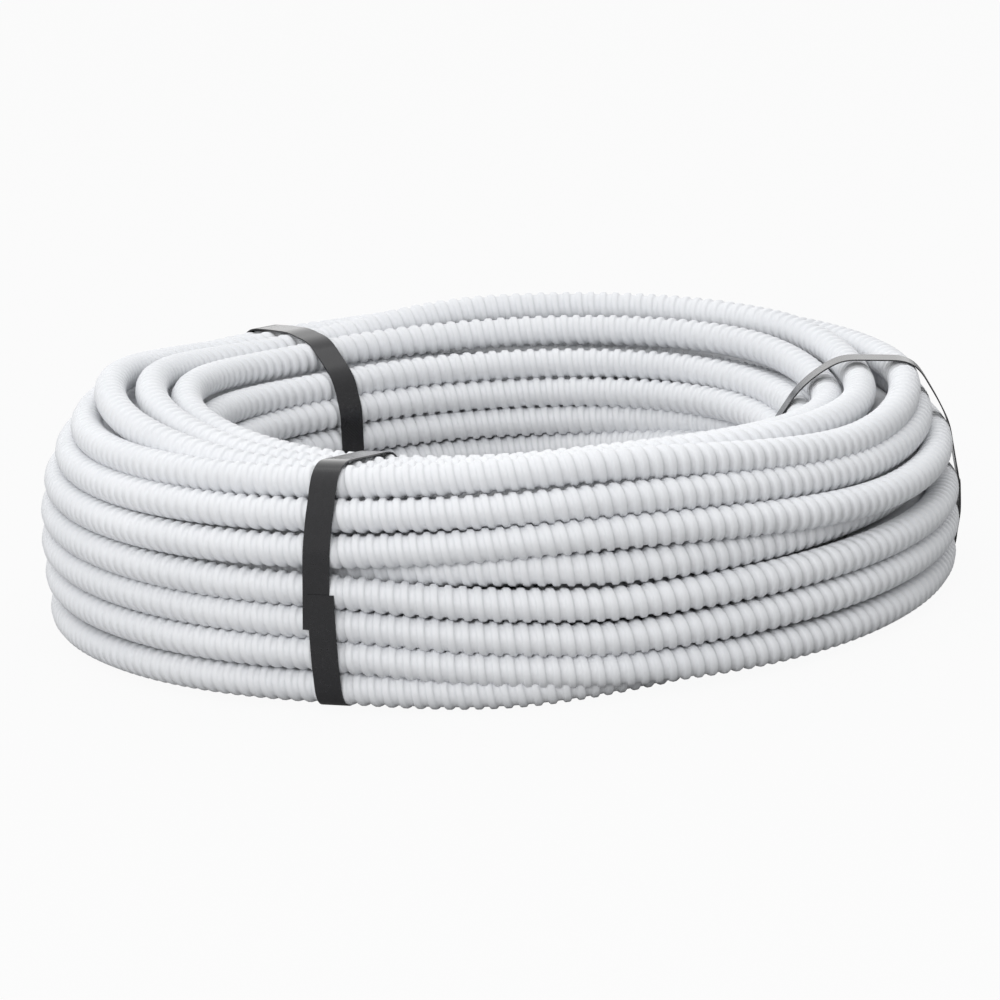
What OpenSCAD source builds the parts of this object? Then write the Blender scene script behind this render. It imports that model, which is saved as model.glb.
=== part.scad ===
// Coil of ribbed flexible conduit, tied with three plastic straps.
// The coil lies flat, its axis is Z, and the undersides of the straps are at z = 0.

/* [Conduit] */
// Outside diameter of the conduit over its ribs
conduit_d = 20; // [16:0.5:25]
// How far the ribs of a layer sink between the ribs of the layer below
rib_nest = 0.8; // [0.4:0.1:3]
// How far past the centres of the edge turns the spaces between the turns are closed
closed_past = 2; // [0.5:0.5:5]

/* [Coil] */
// Outside radius of the coil at its widest layers
coil_r = 275; // [255:1:320]
// Radius of the eye at its narrowest layer
eye_r = 154; // [135:1:170]
// How far the outermost turn of each layer lies in from the widest one, from the lowest layer up
outer_step = [3, 0, 0, 0, 3, 9, 15];
// How far the innermost turn of each layer lies out from the narrowest one
inner_step = [2, 4, 4, 0, 3, 8, 22];
// How far the innermost turn of each layer lies below the height of its layer
inner_drop = [0, 0, 0, 2, 6, 10, 15];
// How far the outermost turn of each layer lies below the height of its layer
outer_drop = [0, 0, 0, 0, 0, 2, 4];
// How far the top layer rises between its edge turns
top_crown = 6.5; // [0:0.5:8]

/* [Straps] */
// Width of a strap
strap_w = 16; // [9:0.5:25]
// Thickness of a strap
strap_t = 0.8; // [0.5:0.1:1.5]
// Room between a strap and the turns that it holds
strap_clear = 0.3; // [0.25:0.05:0.6]
// Length of the welded lap where the two ends of a strap meet
lap_len = 22; // [14:1:34]
// How far the upper end of a strap lies to one side of the lower end
lap_shift = 2; // [0:0.5:4]
// Direction of the front strap about Z, from +X
front_angle = 248; // [230:1:265]
// Direction of the back strap about Z, from +X
back_angle = 125; // [105:1:145]
// Direction of the right strap about Z, from +X
right_angle = 0; // [-20:1:20]
// Place of the laps of the front and back straps, counted in layers from the lowest one
lap_place = 2.4; // [1.6:0.1:2.4]
// Place of the lap of the right strap, counted in the same way
right_lap_place = 1.6; // [1.6:0.1:2.4]

/* [Hidden] */

tube_r = conduit_d / 2;
layers = len(outer_step);
layer_pitch = conduit_d - rib_nest;
first_layer_z = strap_t + strap_clear + tube_r;
tube_fn = 48;
coil_fn = 180;
strap_fn = 32;
conduit_colour = [0.9, 0.91, 0.92];
strap_colour = [0.14, 0.14, 0.15];

function layer_z(layer) = first_layer_z + layer * layer_pitch;
function outer_turn_r(layer) = coil_r - tube_r - outer_step[layer];
function inner_turn_r(layer) = eye_r + tube_r + inner_step[layer];
function inner_turn_z(layer) = layer_z(layer) - inner_drop[layer];
function outer_turn_z(layer) = layer_z(layer) - outer_drop[layer];

// Centres of the turns that the eye shows, upwards, and of those that the outside shows, downwards
eye_centres = [for (layer = [0 : layers - 1]) [inner_turn_r(layer), inner_turn_z(layer)]];
outside_centres =
    [for (layer = [layers - 1 : -1 : 0]) [outer_turn_r(layer), outer_turn_z(layer)]];

// As many turns as lie side by side in a layer
function turns_in(layer) =
    round((outer_turn_r(layer) - inner_turn_r(layer)) / (conduit_d - rib_nest)) + 1;

// The turns between the innermost and the outermost one, which only the end layers show
function middle_centre(layer, place, crown) =
    [inner_turn_r(layer) + place * (outer_turn_r(layer) - inner_turn_r(layer)),
     inner_turn_z(layer) + place * (outer_turn_z(layer) - inner_turn_z(layer))
         + 4 * crown * place * (1 - place)];
function middle_centres(layer, crown) =
    [for (turn = [1 : turns_in(layer) - 2])
        middle_centre(layer, turn / (turns_in(layer) - 1), crown)];
bottom_centres = middle_centres(0, 0);
top_centres = middle_centres(layers - 1, top_crown);
shown_centres = concat(eye_centres, top_centres, outside_centres, bottom_centres);

// Corners of the core that closes the spaces between the turns
function core_lift(layer) =
    layer == 0 ? -closed_past : layer == layers - 1 ? closed_past : 0;
core_points = concat(
    [for (layer = [0 : layers - 1])
        [inner_turn_r(layer) - closed_past, inner_turn_z(layer) + core_lift(layer)]],
    [for (centre = top_centres) centre + [0, closed_past]],
    [for (layer = [layers - 1 : -1 : 0])
        [outer_turn_r(layer) + closed_past, outer_turn_z(layer) + core_lift(layer)]]);

// A flat strap leaves the round wall of the eye by this much, so that its edges clear the wall
eye_sag = eye_r - sqrt(pow(eye_r, 2) - pow(strap_w / 2, 2));
strap_centres =
    concat([for (centre = eye_centres) centre - [eye_sag, 0]], top_centres, outside_centres);

// The tight outline round the section, standing off the turns by the given distance
module tied_outline(stand_off) {
    hull()
        for (centre = strap_centres)
            translate(centre)
                circle(r = tube_r + stand_off, $fn = strap_fn);
}

// One strap round the section, with its two ends lapped and welded on the outside
module strap(angle, lap_layer) {
    lap_r = coil_r + strap_clear + strap_t / 2;
    rotate([0, 0, angle]) {
        rotate([90, 0, 0])
            linear_extrude(height = strap_w, center = true)
                difference() {
                    tied_outline(strap_clear + strap_t);
                    tied_outline(strap_clear);
                }
        translate([lap_r, lap_shift - strap_w / 2, layer_z(lap_layer) - lap_len / 2])
            cube([strap_t * 3 / 2, strap_w, lap_len]);
    }
}

// The turns that show, on a core that closes the spaces between them
module conduit_coil() {
    color(conduit_colour)
        union() {
            rotate_extrude($fn = coil_fn)
                polygon(core_points);
            for (centre = shown_centres)
                rotate_extrude($fn = coil_fn)
                    translate(centre)
                        circle(r = tube_r, $fn = tube_fn);
        }
}

module strap_front() {
    color(strap_colour)
        strap(front_angle, lap_place);
}

module strap_back() {
    color(strap_colour)
        strap(back_angle, lap_place);
}

module strap_right() {
    color(strap_colour)
        strap(right_angle, right_lap_place);
}

conduit_coil();
strap_front();
strap_back();
strap_right();
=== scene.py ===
"""Coil of ribbed flexible conduit, tied with three plastic straps.

Sizes are in metres, in the frame of the solids, but the route of the conduit is written in mm.
Angles about the axis are in degrees from the front, which is -Y, and grow towards the right,
which is +X.
"""
import math

import bpy
import numpy as np
from mathutils import Matrix, Vector


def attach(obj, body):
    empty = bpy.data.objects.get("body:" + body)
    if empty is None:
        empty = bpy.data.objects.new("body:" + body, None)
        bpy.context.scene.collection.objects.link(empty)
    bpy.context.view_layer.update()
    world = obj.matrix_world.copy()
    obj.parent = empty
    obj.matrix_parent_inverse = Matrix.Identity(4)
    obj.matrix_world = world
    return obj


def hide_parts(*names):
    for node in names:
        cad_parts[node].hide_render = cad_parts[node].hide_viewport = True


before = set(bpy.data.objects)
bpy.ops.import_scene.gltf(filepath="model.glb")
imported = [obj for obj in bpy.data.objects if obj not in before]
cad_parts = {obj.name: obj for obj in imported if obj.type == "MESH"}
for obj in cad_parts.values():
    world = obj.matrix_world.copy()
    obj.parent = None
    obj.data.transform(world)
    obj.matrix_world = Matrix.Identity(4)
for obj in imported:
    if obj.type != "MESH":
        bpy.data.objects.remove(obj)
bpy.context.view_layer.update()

MM = 0.001

# Conduit
TUBE_R = 9.7 * MM
RIB_PITCH = 8.005 * MM
RIB_HEIGHT = 1.45 * MM
BORE_R = 7.0 * MM
BORE_DEPTH = 40.0 * MM
# Points along one rib and the valley after it: place as a share of the pitch, height as a share
# of the rib
SHOWN_PROFILE = (
    (-0.34, 0.0), (-0.28, 0.3), (-0.22, 0.8), (-0.14, 0.97),
    (0.14, 0.97), (0.22, 0.8), (0.28, 0.3), (0.34, 0.0),
)
INSIDE_PROFILE = ((-0.26, 0.0), (0.0, 1.0), (0.26, 0.0), (0.5, 0.0))
# Sides of the mesh round the conduit
SHOWN_SIDES = 15
INSIDE_SIDES = 10
# Degrees between the points of the centre line
PATH_STEP = 0.5

# Straps
STRAP_W = 16.0 * MM
STRAP_T = 0.8 * MM
STRAP_CLEAR = 0.5 * MM
# Distance between the points along a strap
STRAP_STEP = 2.5 * MM
# Above a height, a strap is too stiff to bend more sharply than this
BEND_R = 17.0 * MM
BEND_FROM = 60.0 * MM
# Greatest angle between two points of a bend, and the angle from which an edge is sharp
ARC_STEP = math.radians(6.0)
SHARP_ANGLE = math.radians(40.0)
# Steps along a strap over which its bends are evened out
SMOOTHED = range(-2, 3)
LAP_LEN = 22.0 * MM
LAP_SHIFT = 4.0 * MM
# The lap lies on the outside, where the strap faces outwards by at least this share
LAP_FACING = 0.7
# Steps along the strap in which it rises onto the lap, and in which it leaves the lap askew
LAP_EASE = 5
SKEW_STEPS = 28
# Size of the diamonds pressed into a strap
DIAMOND = 2.0 * MM
# Name under which the mesh of a strap keeps the place of each point across and along it
STRAP_PLACE = "strap_place"
# Direction of each strap and the height of the middle of its lap
STRAPS = {
    "strap_front": (-22.0, 59.0 * MM),
    "strap_back": (-145.0, 58.0 * MM),
    "strap_right": (90.0, 42.0 * MM),
}
# The stiff right strap bows out over the turns below it, as if held by turns at these radii and
# heights, in mm
STRAP_BOWS = {
    "strap_right": [
        (185, 97), (189, 103), (197, 110), (205, 115), (212, 118), (249, 110), (257, 95),
    ],
}


# Route of the conduit

# The turns are wound clockwise seen from above, so the angle falls along the route
RIGHT, FRONT, LEFT, BACK = 90.0, 0.0, -90.0, -180.0
QUARTERS = (RIGHT, FRONT, LEFT, BACK)
# A top turn is given at the straps too, which hold it down between its bulges
TOP_STATIONS = (90.0, 60.0, 10.0, -22.0, -90.0, -145.0, -180.0, -232.0)
OUTER_STATIONS = (0.0, -26.0, -90.0, -145.0, -215.0, -270.0, -310.0, -345.0)


def level_turn(radius, heights):
    """A turn of one radius, with its heights at the right, front, left and back, in mm."""
    return [(angle, radius, height) for angle, height in zip(QUARTERS, heights)]


def uneven_turn(stations, *places):
    """A turn with its radius and height at each of the stations, in mm."""
    return [(angle, radius, height) for angle, (radius, height) in zip(stations, places)]


EYE_TURNS = [
    level_turn(166, (10, 10, 10, 10)),
    level_turn(166, (28, 29, 29, 28)),
    level_turn(164, (45, 47, 48, 46)),
    level_turn(163, (62, 65, 67, 65)),
    uneven_turn(TOP_STATIONS, (184, 69), (172, 75), (165, 81), (164, 84),
                (166, 89), (163, 85), (165, 82.5), (170, 82)),
    uneven_turn(TOP_STATIONS, (173, 79), (173, 88), (172, 98), (171, 101),
                (173, 109), (168, 101), (170, 100), (183, 96)),
]
TOP_TURNS = [
    uneven_turn(TOP_STATIONS, (183, 93), (184, 101), (184, 113), (184, 115),
                (182, 129), (188, 117), (190, 117), (200, 114)),
    uneven_turn(TOP_STATIONS, (199, 106), (202, 110), (206, 119), (206, 119),
                (203, 136), (208, 120), (211, 128), (225, 122)),
    uneven_turn(TOP_STATIONS, (219, 113), (224, 115), (228, 123), (228, 122),
                (228, 137), (229, 119), (231, 120), (240, 116)),
    uneven_turn(TOP_STATIONS, (246, 113), (247, 108), (250, 127), (248, 124),
                (243, 119), (249, 116), (250, 114), (252, 106)),
    uneven_turn(TOP_STATIONS, (252, 97), (252, 94), (258, 109.5), (258, 108),
                (253, 104), (255, 104), (256, 102), (260, 91)),
    uneven_turn(TOP_STATIONS, (262, 80), (265, 78.5), (263, 92), (263, 89),
                (261, 87), (262, 87), (262, 85), (250, 80)),
]
# Turns inside the coil: for each layer the heights at the quarters, and the radii of its turns
INSIDE_HEIGHTS = {
    1: (10, 10, 10, 10),
    2: (28, 29, 29, 29),
    3: (44, 48, 49, 48),
    4: (60, 66, 68, 66),
    5: (74, 84, 90, 84),
    6: (91, 102, 112, 95),
}
INSIDE_RADII = {
    1: (185, 204, 223),
    2: (186, 206, 226, 246),
    3: (185, 206, 226, 246),
    4: (182, 203, 224),
    5: (188, 212, 236),
    6: (194, 213, 233),
}
# Layer and place in it of each of these turns, in winding order
INSIDE_ORDER = [
    (5, 2), (6, 2), (6, 1), (6, 0), (5, 0), (5, 1), (4, 2), (3, 3), (2, 3), (2, 2), (3, 2),
    (4, 1), (3, 1), (4, 0), (3, 0), (2, 0), (2, 1), (1, 0), (1, 1), (1, 2),
]
# The lowest turn slips out to the outside as it passes the front
WAY_OUT = [(90.0, 242, 11), (40.0, 243, 11), (15.0, 254, 8.5)]
# Outer turns of the lower layers, which step up a layer where they pass the front
OUTER_TURNS = [
    uneven_turn(OUTER_STATIONS, (262, 7.8), (262, 12), (264, 9.5), (262, 12),
                (263, 10), (263, 12), (263, 11), (265, 15)),
    uneven_turn(OUTER_STATIONS, (265, 20.5), (265, 31), (265, 32), (265, 32),
                (265, 31), (265, 31.5), (265, 32), (265, 33)),
    uneven_turn(OUTER_STATIONS, (265, 38.5), (265, 49), (265, 51), (265, 51),
                (265, 50), (265, 50.5), (265, 51.5), (265, 52.5)),
    uneven_turn(OUTER_STATIONS, (265, 57.5), (265, 67.5), (264, 69), (264, 69),
                (260, 69), (247, 67), (252, 69), (263, 72)),
]
# The uppermost of them slips back inside, where the conduit ends
WAY_IN = [
    (-2.0, 258, 76), (-26.0, 246, 77), (-60.0, 244, 70),
    (-150.0, 244, 67), (-250.0, 232, 67), (-328.0, 229, 67),
]
# Room that the straps take under the turns, in mm
LIFT = 2.0
# Waves that make the turns uneven: size in mm, waves in a turn, and share of the phase
WANDER = ((0.45, 2.13, 1.0), (0.3, 3.71, 2.0))
RADIUS_PHASE = 0.7
HEIGHT_PHASE = 2.1
HEIGHT_WANDER = 0.5


def wound(number, turn):
    """Knots of one turn, with the angle counted along the route."""
    return [(360.0 * number - angle, radius, height) for angle, radius, height in turn]


def route_knots():
    """Knots of the whole route in winding order: angle wound, radius and height."""
    turns = EYE_TURNS + TOP_TURNS
    for layer, place in INSIDE_ORDER:
        turns.append(level_turn(INSIDE_RADII[layer][place], INSIDE_HEIGHTS[layer]))
    turns.append(WAY_OUT)
    knots = []
    for number, turn in enumerate(turns):
        knots.extend(wound(number, turn))
    # The first outer turn goes on from the way out, within the same turn
    for number, turn in enumerate(OUTER_TURNS + [WAY_IN], len(turns) - 1):
        knots.extend(wound(number, turn))
    return knots


def smooth_between(angles, knot_angles, values):
    """A smooth curve through the knots that doesn't swing past them."""
    slopes = np.diff(values) / np.diff(knot_angles)
    same_way = slopes[:-1] * slopes[1:] > 0
    mean = 2 * slopes[:-1] * slopes[1:] / np.where(same_way, slopes[:-1] + slopes[1:], 1)
    knot_slopes = np.zeros(len(values))
    knot_slopes[1:-1] = np.where(same_way, mean, 0)
    knot = np.clip(np.searchsorted(knot_angles, angles, side="right") - 1, 0, len(values) - 2)
    width = knot_angles[knot + 1] - knot_angles[knot]
    share = (angles - knot_angles[knot]) / width
    rest = 1 - share
    start, end = values[knot], values[knot + 1]
    curve = start + (end - start) * share * share * (3 - 2 * share)
    curve += knot_slopes[knot] * width * share * rest * rest
    curve -= knot_slopes[knot + 1] * width * share * share * rest
    return curve


def wander(angles, phase):
    """The small unevenness of turns wound by hand, less than a millimetre."""
    turn = np.radians(angles)
    return sum(size * np.sin(waves * turn + share * phase) for size, waves, share in WANDER)


class Route:
    """The conduit's centre line, with its length measured along it."""

    def __init__(self):
        knots = np.array(route_knots(), dtype=float)
        self.travel = np.arange(knots[0, 0], knots[-1, 0] + PATH_STEP / 2, PATH_STEP)
        radii = smooth_between(self.travel, knots[:, 0], knots[:, 1])
        heights = smooth_between(self.travel, knots[:, 0], knots[:, 2])
        self.radii = (radii + wander(self.travel, RADIUS_PHASE)) * MM
        self.heights = (heights + LIFT + HEIGHT_WANDER * wander(self.travel, HEIGHT_PHASE)) * MM
        points = self.points(self.radii, self.travel, self.heights)
        steps = np.linalg.norm(np.diff(points, axis=0), axis=1)
        self.lengths = np.concatenate([[0.0], np.cumsum(steps)])

    @staticmethod
    def points(radii, travel, heights):
        turn = np.radians(travel)
        return np.stack([-radii * np.sin(turn), -radii * np.cos(turn), heights], axis=1)

    def at_length(self, lengths):
        """Points on the route and how far it has turned there."""
        travel = np.interp(lengths, self.lengths, self.travel)
        radii = np.interp(lengths, self.lengths, self.radii)
        heights = np.interp(lengths, self.lengths, self.heights)
        return self.points(radii, travel, heights), travel

    def rib_at(self, turn, angle):
        """The rib nearest to an angle of one turn."""
        length = float(np.interp(360.0 * turn - angle, self.travel, self.lengths))
        return round(length / RIB_PITCH)

    def crossings(self, angle):
        """Radius and height of each turn where it passes one direction."""
        first = math.ceil((self.travel[0] + angle) / 360.0)
        last = math.floor((self.travel[-1] + angle) / 360.0)
        passes = np.array([360.0 * turn - angle for turn in range(first, last + 1)])
        radii = np.interp(passes, self.travel, self.radii)
        heights = np.interp(passes, self.travel, self.heights)
        return np.stack([radii, heights], axis=1)


route = Route()
WHOLE_RIBS = int(route.lengths[-1] / RIB_PITCH)
print("conduit length", round(route.lengths[-1], 2))


# Meshes

def new_object(name, vertices, faces, smooth_faces):
    """A mesh whose first faces are shaded smooth and whose others are flat."""
    mesh = bpy.data.meshes.new(name)
    mesh.from_pydata(vertices, [], faces)
    shading = [number < smooth_faces for number in range(len(mesh.polygons))]
    mesh.polygons.foreach_set("use_smooth", shading)
    mesh.update()
    piece = bpy.data.objects.new(name, mesh)
    bpy.context.scene.collection.objects.link(piece)
    return piece


def frames_at(lengths):
    """Centre of the conduit and its outward and upward directions at lengths along the route."""
    centres, travel = route.at_length(lengths)
    turn = np.radians(travel)
    outward = np.stack([-np.sin(turn), -np.cos(turn), np.zeros(len(turn))], axis=1)
    step = RIB_PITCH / 4
    tangents = route.at_length(lengths + step)[0] - route.at_length(lengths - step)[0]
    tangents /= np.linalg.norm(tangents, axis=1)[:, None]
    upward = np.cross(tangents, outward)
    upward /= np.linalg.norm(upward, axis=1)[:, None]
    return centres, np.cross(upward, tangents), upward


def tube_piece(name, first_rib, last_rib, profile, sides):
    """A length of conduit. The rows of its mesh follow the rib, which winds round it once a pitch."""
    rows = len(profile)
    places = np.array([place for place, _ in profile])
    lifts = np.array([lift for _, lift in profile])
    ribs = np.arange(first_rib, last_rib)
    along = np.append((ribs[:, None] + places).ravel(), last_rib + places[0])
    radii = TUBE_R - RIB_HEIGHT * (1 - np.append(np.tile(lifts, len(ribs)), lifts[0]))
    columns = np.arange(sides + 1)
    lengths = RIB_PITCH * (along[:, None] + columns / sides).ravel()
    lengths = np.clip(lengths, 0.0, WHOLE_RIBS * RIB_PITCH)
    centres, outward, upward = frames_at(lengths)
    around = np.tile(2 * math.pi * columns / sides, len(along))[:, None]
    spokes = outward * np.cos(around) + upward * np.sin(around)
    vertices = (centres + spokes * np.repeat(radii, sides + 1)[:, None]).tolist()

    # The last column of a row is the first column of the row one rib after it
    index = np.arange(len(vertices)).reshape(len(along), sides + 1)
    index[:-rows, sides] = index[rows:, 0]
    quads = np.stack([index[:-1, :-1], index[:-1, 1:], index[1:, 1:], index[1:, :-1]], axis=2)
    faces = quads.reshape(-1, 4).tolist()
    smooth_faces = len(faces)

    start_loop = index[0, :].tolist() + index[1:rows, 0].tolist()[::-1]
    end_loop = index[-1, :].tolist() + index[-rows:-1, sides].tolist()[::-1]
    close_end(vertices, faces, start_loop, spokes, first_rib < 0, 1)
    close_end(vertices, faces, end_loop, spokes, last_rib > WHOLE_RIBS, -1)
    return new_object(name, vertices, faces, smooth_faces)


def close_end(vertices, faces, loop, spokes, is_end, way):
    """Closes one end of a length: flat where the conduit goes on, with its bore where it is cut."""
    rim = loop
    if is_end:
        cut = 0.0 if way == 1 else WHOLE_RIBS * RIB_PITCH
        for depth in (0.0, BORE_DEPTH):
            middle = route.at_length(np.array([cut + depth * way]))[0][0]
            inner = list(range(len(vertices), len(vertices) + len(loop)))
            vertices.extend((middle + spokes[vertex] * BORE_R).tolist() for vertex in loop)
            add_ring(faces, rim, inner, way)
            rim = inner
    hub = len(vertices)
    vertices.append(np.mean([vertices[vertex] for vertex in rim], axis=0).tolist())
    for here, there in zip(rim, rim[1:] + rim[:1]):
        faces.append((there, here, hub) if way == 1 else (here, there, hub))


def add_ring(faces, outer, inner, way):
    """Faces between two loops of one end."""
    count = len(outer)
    for here in range(count):
        there = (here + 1) % count
        ring_face = (outer[here], outer[there], inner[there], inner[here])
        faces.append(ring_face[::-1] if way == 1 else ring_face)


def convex_outline(points):
    """Corners of the tight outline round some points, anticlockwise."""
    ordered = sorted(map(tuple, points))

    def half(sequence):
        chain = []
        for point in sequence:
            while len(chain) > 1:
                (ax, ay), (bx, by) = chain[-2], chain[-1]
                if (bx - ax) * (point[1] - ay) - (by - ay) * (point[0] - ax) > 0:
                    break
                chain.pop()
            chain.append(point)
        return chain[:-1]

    return half(ordered) + half(ordered[::-1])


def corner_arcs(corners):
    """First and last outward direction, as angles, of the tight outline at each of its corners."""
    arcs = []
    for number, corner in enumerate(corners):
        before, after = corners[number - 1], corners[(number + 1) % len(corners)]
        start = math.atan2(before[0] - corner[0], corner[1] - before[1])
        end = math.atan2(corner[0] - after[0], after[1] - corner[1])
        arcs.append((start, end if end >= start else end + 2 * math.pi))
    return arcs


def evened_out(line, along, places):
    """Points of a closed line at even places along it, each the mean of those next to it."""
    even = np.stack([np.interp(places, along, line[:, axis]) for axis in (0, 1)], axis=1)
    return sum(np.roll(even, step, axis=0) for step in SMOOTHED) / len(SMOOTHED)


def tied_outline(centres):
    """Even points of the outline of a strap tied round turns, with the outward direction at each."""
    corners = convex_outline(centres)
    bends = {}
    for corner, (start, end) in zip(corners, corner_arcs(corners)):
        spare = BEND_R - TUBE_R if corner[1] > BEND_FROM else 0.0
        middle = (start + end) / 2
        bend = (corner[0] - spare * math.cos(middle), corner[1] - spare * math.sin(middle))
        bends[bend] = TUBE_R + spare
    corners = convex_outline(bends)
    points, normals = [], []
    for corner, (start, end) in zip(corners, corner_arcs(corners)):
        reach = bends[corner] + STRAP_CLEAR
        for direction in np.linspace(start, end, 2 + int((end - start) / ARC_STEP)):
            across, up = math.cos(direction), math.sin(direction)
            normals.append((across, up))
            points.append((corner[0] + reach * across, corner[1] + reach * up))
    points = np.array(points + points[:1])
    normals = np.array(normals + normals[:1])
    steps = np.linalg.norm(np.diff(points, axis=0), axis=1)
    along = np.concatenate([[0.0], np.cumsum(steps)])
    places = np.linspace(0.0, along[-1], int(along[-1] / STRAP_STEP), endpoint=False)
    points = evened_out(points, along, places)
    normals = evened_out(normals, along, places)
    return points, normals / np.linalg.norm(normals, axis=1)[:, None]


def strap_piece(name, angle, lap_height, bows):
    """A flat strap pulled tight round the turns, its ends lapped and welded on the outside."""
    centres = route.crossings(angle).tolist()
    centres += [(radius * MM, height * MM) for radius, height in bows]
    points, normals = tied_outline(centres)
    off_lap = np.abs(points[:, 1] - lap_height + LAP_LEN / 2) + (normals[:, 0] < LAP_FACING)
    order = np.roll(np.arange(len(points)), -int(np.argmin(off_lap)))
    lapped = int(LAP_LEN / STRAP_STEP)
    order = np.concatenate([order, order[:lapped + 1]])
    # The end that comes up lies on the one that comes down askew from the top
    steps = np.arange(len(order))
    reach = STRAP_T * np.clip((steps - steps[-1] + lapped + LAP_EASE) / LAP_EASE, 0.0, 1.0)
    shift = LAP_SHIFT * np.clip(steps / SKEW_STEPS - 0.5, -0.5, 0.5)
    turn = math.radians(angle)
    outward = np.array([math.sin(turn), -math.cos(turn), 0.0])
    sideways = np.array([math.cos(turn), math.sin(turn), 0.0])
    upward = np.array([0.0, 0.0, 1.0])
    half = STRAP_W / 2
    section = ((0.0, -half), (STRAP_T, -half), (STRAP_T, half), (0.0, half))
    vertices, faces, places = [], [], []
    for step, point in enumerate(order):
        for depth, side in section:
            radius, height = points[point] + normals[point] * (reach[step] + depth)
            level = outward * radius + sideways * (side + shift[step])
            vertices.append((level + upward * max(height, 0.0)).tolist())
            places.extend((side, step * STRAP_STEP, depth))
    corners = len(section)
    last = len(vertices) - corners
    for here in range(0, last, corners):
        there = here + corners
        for corner in range(corners):
            following = (corner + 1) % corners
            faces.append((here + corner, here + following, there + following, there + corner))
    faces.append((3, 2, 1, 0))
    faces.append((last, last + 1, last + 2, last + 3))
    piece = new_object(name, vertices, faces, len(faces))
    piece.data.set_sharp_from_angle(angle=SHARP_ANGLE)
    kept_places = piece.data.attributes.new(STRAP_PLACE, "FLOAT_VECTOR", "POINT")
    kept_places.data.foreach_set("vector", places)
    return piece


# Materials

# Scale and detail of each noise, and the shares of the noise between which the tone changes
CONDUIT_CLOUD = (14.0, 4.0)
CONDUIT_GRAIN = (900.0, 2.0)
CONDUIT_TONE_SPAN = (0.3, 0.7)
STRAP_GRAIN = (350.0, 2.0)
STRAP_TONE_SPAN = (0.0, 1.0)
# Least and greatest tone and roughness of each plastic
CONDUIT_TONES = ((0.69, 0.703, 0.726), (0.735, 0.746, 0.767))
CONDUIT_ROUGHNESS = (0.42, 0.56)
STRAP_TONES = ((0.011, 0.011, 0.0125), (0.019, 0.019, 0.021))
STRAP_ROUGHNESS = (0.08, 0.16)
CONDUIT_SPECULAR = 0.4
STRAP_SPECULAR = 0.55
# Strength and depth of the relief
CONDUIT_BUMP = (0.06, 0.4 * MM)
STRAP_BUMP = (0.25, 0.1 * MM)
# A diagonal wave of scale 1 repeats this often in a length of two pi
DIAGONAL_WAVES = 10.0


def new_material(name):
    """A material, the tree of its nodes and its shader."""
    material = bpy.data.materials.new(name)
    material.use_nodes = True
    return material, material.node_tree, material.node_tree.nodes["Principled BSDF"]


def noise_of(tree, scale, detail):
    """A noise that is fixed to the piece."""
    place = tree.nodes.new("ShaderNodeTexCoord")
    noise = tree.nodes.new("ShaderNodeTexNoise")
    noise.inputs["Scale"].default_value = scale
    noise.inputs["Detail"].default_value = detail
    tree.links.new(place.outputs["Object"], noise.inputs["Vector"])
    return noise.outputs["Fac"]


def set_tone(tree, shader, noise, span, tones):
    """A base colour that follows a noise."""
    ramp = tree.nodes.new("ShaderNodeValToRGB")
    for element, position, tone in zip(ramp.color_ramp.elements, span, tones):
        element.position = position
        element.color = (*tone, 1.0)
    tree.links.new(noise, ramp.inputs["Fac"])
    tree.links.new(ramp.outputs["Color"], shader.inputs["Base Color"])


def set_roughness(tree, shader, noise, least, greatest):
    """A roughness that follows a noise."""
    gloss = tree.nodes.new("ShaderNodeMapRange")
    gloss.inputs["To Min"].default_value = least
    gloss.inputs["To Max"].default_value = greatest
    tree.links.new(noise, gloss.inputs["Value"])
    tree.links.new(gloss.outputs["Result"], shader.inputs["Roughness"])


def set_bump(tree, shader, height, strength, depth):
    """A fine relief."""
    bump = tree.nodes.new("ShaderNodeBump")
    bump.inputs["Strength"].default_value = strength
    bump.inputs["Distance"].default_value = depth
    tree.links.new(height, bump.inputs["Height"])
    tree.links.new(bump.outputs["Normal"], shader.inputs["Normal"])


def pressed_diamonds(tree):
    """Diamonds between two sets of slanting grooves, by the place across and along a strap."""
    place = tree.nodes.new("ShaderNodeAttribute")
    place.attribute_name = STRAP_PLACE
    pressed = tree.nodes.new("ShaderNodeMath")
    pressed.operation = "MINIMUM"
    for number, way in enumerate((1.0, -1.0)):
        turned = tree.nodes.new("ShaderNodeMapping")
        turned.inputs["Scale"].default_value = (way, 1.0, 0.0)
        tree.links.new(place.outputs["Vector"], turned.inputs["Vector"])
        groove = tree.nodes.new("ShaderNodeTexWave")
        groove.bands_direction = "DIAGONAL"
        groove.inputs["Scale"].default_value = 2 * math.pi / (DIAGONAL_WAVES * DIAMOND)
        tree.links.new(turned.outputs["Vector"], groove.inputs["Vector"])
        tree.links.new(groove.outputs["Fac"], pressed.inputs[number])
    return pressed.outputs["Value"]


def conduit_material():
    """Satin light grey plastic, a little uneven in tone and gloss."""
    material, tree, shader = new_material("conduit_plastic")
    cloud = noise_of(tree, *CONDUIT_CLOUD)
    set_tone(tree, shader, cloud, CONDUIT_TONE_SPAN, CONDUIT_TONES)
    set_roughness(tree, shader, cloud, *CONDUIT_ROUGHNESS)
    set_bump(tree, shader, noise_of(tree, *CONDUIT_GRAIN), *CONDUIT_BUMP)
    shader.inputs["Specular IOR Level"].default_value = CONDUIT_SPECULAR
    return material


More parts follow.
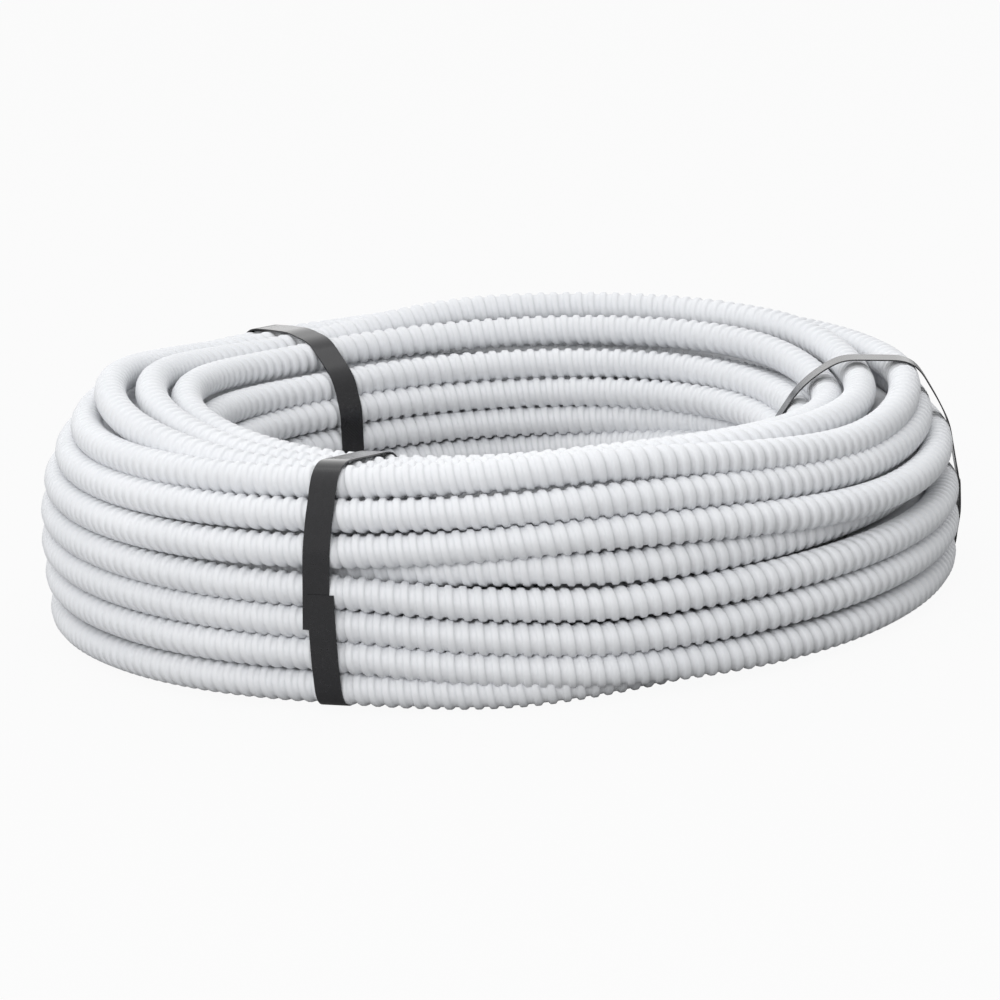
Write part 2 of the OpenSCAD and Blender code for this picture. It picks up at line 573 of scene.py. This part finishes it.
def strap_material():
    """Black strapping with a fine pressed pattern."""
    material, tree, shader = new_material("strap_plastic")
    grain = noise_of(tree, *STRAP_GRAIN)
    set_tone(tree, shader, grain, STRAP_TONE_SPAN, STRAP_TONES)
    set_roughness(tree, shader, grain, *STRAP_ROUGHNESS)
    set_bump(tree, shader, pressed_diamonds(tree), *STRAP_BUMP)
    shader.inputs["Specular IOR Level"].default_value = STRAP_SPECULAR
    return material


# Pieces

# The mesh of the conduit is cut under the front strap or inside the coil. Each cut is given by
# its turn and angle, and by whether the length up to it shows
INSIDE_FROM = len(EYE_TURNS + TOP_TURNS)
OUTER_FROM = INSIDE_FROM + len(INSIDE_ORDER)
STRAP_CUT = STRAPS["strap_front"][0]
INSIDE_CUT = 60.0
CUTS = [
    (4, STRAP_CUT, True),
    (8, STRAP_CUT, True),
    (INSIDE_FROM, INSIDE_CUT, True),
    (INSIDE_FROM + 10, STRAP_CUT, False),
    (OUTER_FROM, INSIDE_CUT, False),
    (OUTER_FROM + 2, STRAP_CUT, True),
]


def build_conduit(material):
    first_rib = -1
    lengths = [(route.rib_at(turn, angle), shown) for turn, angle, shown in CUTS]
    lengths.append((WHOLE_RIBS + 1, True))
    for number, (last_rib, shown) in enumerate(lengths, 1):
        profile = SHOWN_PROFILE if shown else INSIDE_PROFILE
        sides = SHOWN_SIDES if shown else INSIDE_SIDES
        piece = tube_piece("conduit_length_%d" % number, first_rib, last_rib, profile, sides)
        piece.data.materials.append(material)
        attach(piece, "root")
        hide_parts("conduit_coil")
        first_rib = last_rib


def build_straps(material):
    for node, (angle, lap_height) in STRAPS.items():
        piece = strap_piece(node + "_band", angle, lap_height, STRAP_BOWS.get(node, []))
        piece.data.materials.append(material)
        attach(piece, "root")
        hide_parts(node)


build_conduit(conduit_material())
build_straps(strap_material())


# Stage, light and camera

FLOOR_REACH = 30.0
FLOOR_TONE = (0.36, 0.36, 0.36, 1.0)
# Share of the floor that the camera sees as plain white, so that its shadow is faint
FLOOR_WHITE = 0.94
WHITE = (1.0, 1.0, 1.0, 1.0)
# The backdrop behind the coil, and a little to its left, is brighter than the room in front of it
BACKDROP = (-0.3, 0.95, 0.0)
ROOM_LEVEL = 0.32
BACKDROP_LEVEL = 1.4
# Place, size and power of each lamp
LAMPS = {
    "key_light": ((-0.6, -2.5, 1.4), 1.7, 41.0),
    "top_light": ((0.2, 0.0, 2.8), 2.4, 16.0),
}
VIEW_ELEVATION = 13.2
VIEW_ROLL = 3.57
VIEW_DISTANCE = 2.815
VIEW_REACH = 100.0
FOCAL_PIXELS = 4684.0
IMAGE_PIXELS = 1000.0
SENSOR = 36.0
TARGET = Vector((0.0, 0.0, 0.068))
# Where the target lies in the image, from its centre, right and up
TARGET_PIXELS = (-2.0, 21.0)


def build_stage():
    mesh = bpy.data.meshes.new("floor")
    corners = [(x * FLOOR_REACH, y * FLOOR_REACH, 0) for x, y in ((-1, -1), (1, -1), (1, 1), (-1, 1))]
    mesh.from_pydata(corners, [], [(0, 1, 2, 3)])
    floor = bpy.data.objects.new("floor", mesh)
    bpy.context.scene.collection.objects.link(floor)
    material, tree, shader = new_material("pale_floor")
    shader.inputs["Base Color"].default_value = FLOOR_TONE
    shader.inputs["Roughness"].default_value = 1.0
    shader.inputs["Specular IOR Level"].default_value = 0.0
    path = tree.nodes.new("ShaderNodeLightPath")
    white = tree.nodes.new("ShaderNodeEmission")
    white.inputs["Strength"].default_value = 1.0
    share = tree.nodes.new("ShaderNodeMath")
    share.operation = "MULTIPLY"
    share.inputs[1].default_value = FLOOR_WHITE
    mix = tree.nodes.new("ShaderNodeMixShader")
    tree.links.new(path.outputs["Is Camera Ray"], share.inputs[0])
    tree.links.new(share.outputs["Value"], mix.inputs["Fac"])
    tree.links.new(shader.outputs["BSDF"], mix.inputs[1])
    tree.links.new(white.outputs["Emission"], mix.inputs[2])
    tree.links.new(mix.outputs["Shader"], tree.nodes["Material Output"].inputs["Surface"])
    mesh.materials.append(material)


def build_world():
    world = bpy.data.worlds.new("studio")
    bpy.context.scene.world = world
    world.use_nodes = True
    nodes, links = world.node_tree.nodes, world.node_tree.links
    background = nodes["Background"]
    background.inputs["Color"].default_value = WHITE
    place = nodes.new("ShaderNodeTexCoord")
    behind = nodes.new("ShaderNodeVectorMath")
    behind.operation = "DOT_PRODUCT"
    behind.inputs[1].default_value = BACKDROP
    links.new(place.outputs["Generated"], behind.inputs[0])
    room = nodes.new("ShaderNodeMapRange")
    room.inputs["From Min"].default_value = -1.0
    room.inputs["To Min"].default_value = ROOM_LEVEL
    room.inputs["To Max"].default_value = BACKDROP_LEVEL
    links.new(behind.outputs["Value"], room.inputs["Value"])
    # The camera itself sees nothing darker than white
    path = nodes.new("ShaderNodeLightPath")
    level = nodes.new("ShaderNodeMath")
    level.operation = "MAXIMUM"
    links.new(room.outputs["Result"], level.inputs[0])
    links.new(path.outputs["Is Camera Ray"], level.inputs[1])
    links.new(level.outputs["Value"], background.inputs["Strength"])


def add_lamp(name, place, size, power):
    lamp = bpy.data.lights.new(name, "AREA")
    lamp.shape = "SQUARE"
    lamp.size = size
    lamp.energy = power
    holder = bpy.data.objects.new(name, lamp)
    bpy.context.scene.collection.objects.link(holder)
    holder.location = place
    holder.rotation_euler = (TARGET - Vector(place)).to_track_quat("-Z", "Y").to_euler()


def build_camera():
    tilt, roll = math.radians(VIEW_ELEVATION), math.radians(VIEW_ROLL)
    forward = Vector((0.0, math.cos(tilt), -math.sin(tilt)))
    level_right = Vector((1.0, 0.0, 0.0))
    level_up = level_right.cross(forward)
    right = level_right * math.cos(roll) - level_up * math.sin(roll)
    up = level_right * math.sin(roll) + level_up * math.cos(roll)
    place = TARGET - forward * VIEW_DISTANCE
    lens = bpy.data.cameras.new("camera")
    lens.sensor_width = SENSOR
    lens.lens = FOCAL_PIXELS / IMAGE_PIXELS * SENSOR
    lens.shift_x = -TARGET_PIXELS[0] / IMAGE_PIXELS
    lens.shift_y = -TARGET_PIXELS[1] / IMAGE_PIXELS
    lens.clip_end = VIEW_REACH
    camera = bpy.data.objects.new("camera", lens)
    bpy.context.scene.collection.objects.link(camera)
    rotation = Matrix((right, up, -forward)).transposed().to_4x4()
    camera.matrix_world = Matrix.Translation(place) @ rotation
    bpy.context.scene.camera = camera


build_stage()
build_world()
for lamp_name, (lamp_place, lamp_size, lamp_power) in LAMPS.items():
    add_lamp(lamp_name, lamp_place, lamp_size, lamp_power)
build_camera()
bpy.context.scene.view_settings.view_transform = "Standard"
